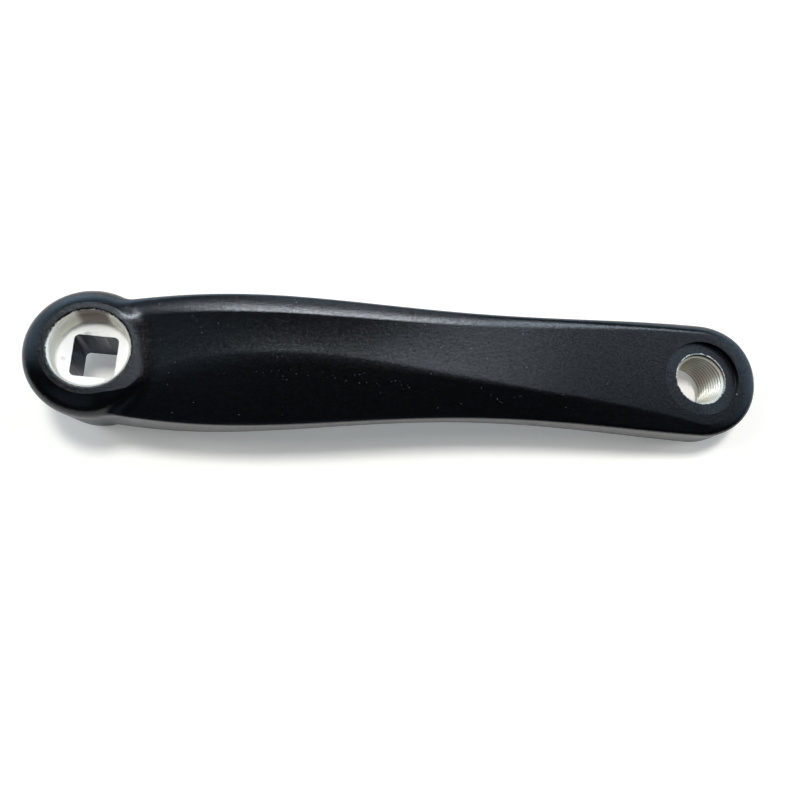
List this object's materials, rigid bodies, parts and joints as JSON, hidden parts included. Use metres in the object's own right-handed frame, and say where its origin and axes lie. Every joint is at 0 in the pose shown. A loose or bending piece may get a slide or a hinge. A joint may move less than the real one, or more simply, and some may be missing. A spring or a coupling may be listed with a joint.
{
  "type": "bicycle crank arm",
  "caption": "Left crank arm of a bicycle: a bowed forging with a tapered square spindle socket and extractor mouth in the boss and a threaded pedal eye.",
  "frame": {"origin": "on the spindle axis, at the boss's inner face", "axes": "+Z along the spindle axis, away from the bicycle; +X from the spindle axis towards the pedal axis"},
  "size_m": [0.205, 0.0396, 0.0576],
  "materials": {
    "arm": "satin black paint, with bare machined metal in the extractor mouth, the square socket and the pedal hole"
  },
  "bodies": {
    "root": {"crank_arm": "arm"}
  },
  "joints": []
}
